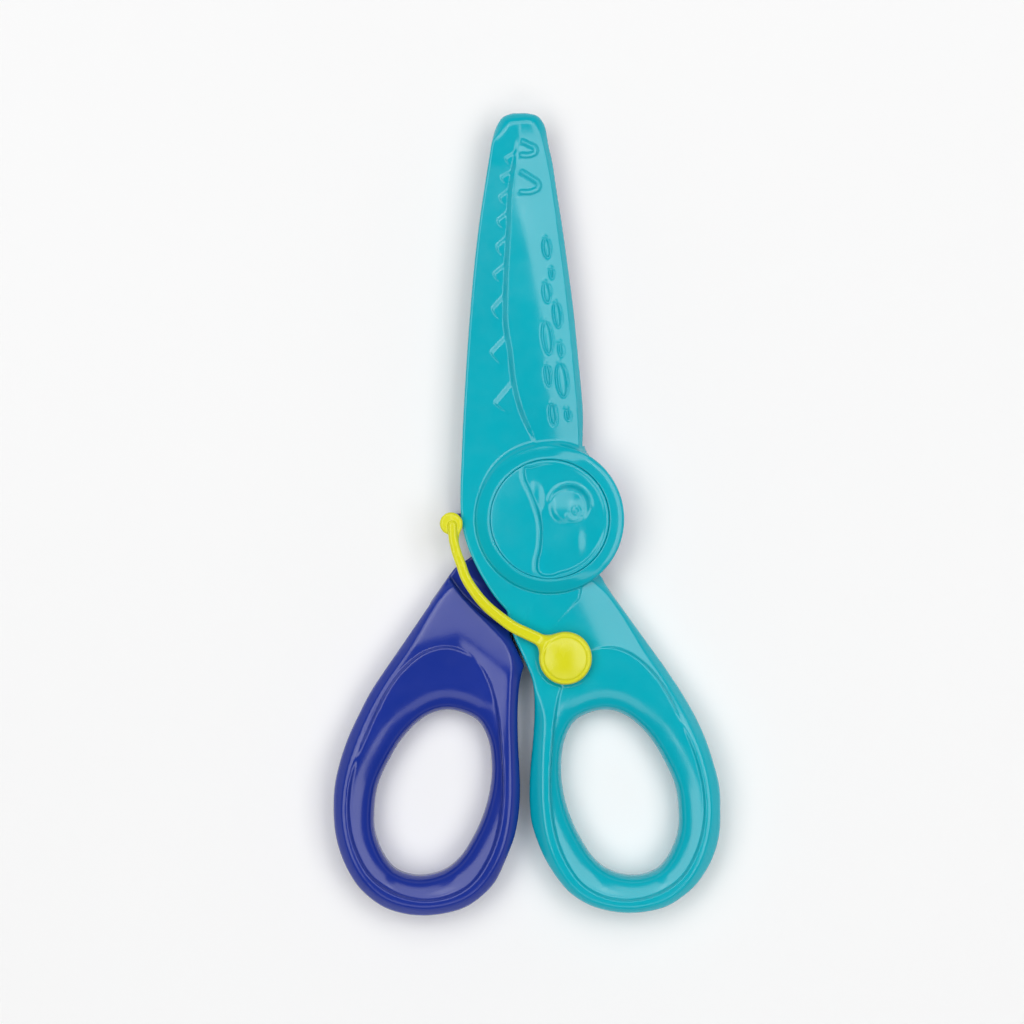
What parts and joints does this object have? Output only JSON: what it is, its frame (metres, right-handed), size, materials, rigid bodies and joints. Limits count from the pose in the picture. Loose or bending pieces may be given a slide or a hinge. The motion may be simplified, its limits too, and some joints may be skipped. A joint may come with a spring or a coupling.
{
  "type": "decorative edge scissors",
  "caption": "Craft scissors with plastic-covered wavy blades, an animal-head cover, two finger rings and a spring lever that reopens them.",
  "frame": {"origin": "where the pivot's axis meets the flat back that the closed scissors rest on", "axes": "+Y towards the blade tips, +Z out of the front face, +X to the right of someone who looks at the front"},
  "size_m": [0.0772, 0.1602, 0.0119],
  "materials": {
    "teal_plastic": "smooth moulded plastic, soft gloss",
    "blue_plastic": "smooth moulded plastic, soft gloss",
    "lime_plastic": "smooth moulded plastic, soft gloss",
    "blade_steel": "ground stainless steel",
    "pin_steel": "plated steel",
    "nylon": "natural nylon"
  },
  "bodies": {
    "front_half": {"front_body": "teal_plastic", "eye_cap": "teal_plastic", "front_blade": "blade_steel", "front_blade_pin_1": "pin_steel", "front_blade_pin_2": "pin_steel", "front_blade_pin_3": "pin_steel", "thrust_washer": "nylon", "head_washer": "pin_steel"},
    "rear_half": {"rear_body": "blue_plastic", "rear_cap": "blue_plastic", "rear_blade": "blade_steel", "rear_blade_pin_1": "pin_steel", "rear_blade_pin_2": "pin_steel", "rear_blade_pin_3": "pin_steel", "pivot_screw": "pin_steel", "pivot_nut": "pin_steel", "pivot_bush": "nylon", "wave_washer": "pin_steel"},
    "lever": {"spring_lever": "lime_plastic", "lever_screw": "pin_steel", "lever_washer": "pin_steel"}
  },
  "joints": [
    {"name": "blades_open", "type": "hinge", "parent": "front_half", "child": "rear_half", "pos_m": [0, 0, 0], "axis": [0, 0, -1], "range_deg": [0, 42]},
    {"name": "spring_release", "type": "hinge", "parent": "front_half", "child": "lever", "pos_m": [0.0031, -0.0276, 0], "axis": [0, 0, 1], "range_deg": [0, 5]}
  ]
}
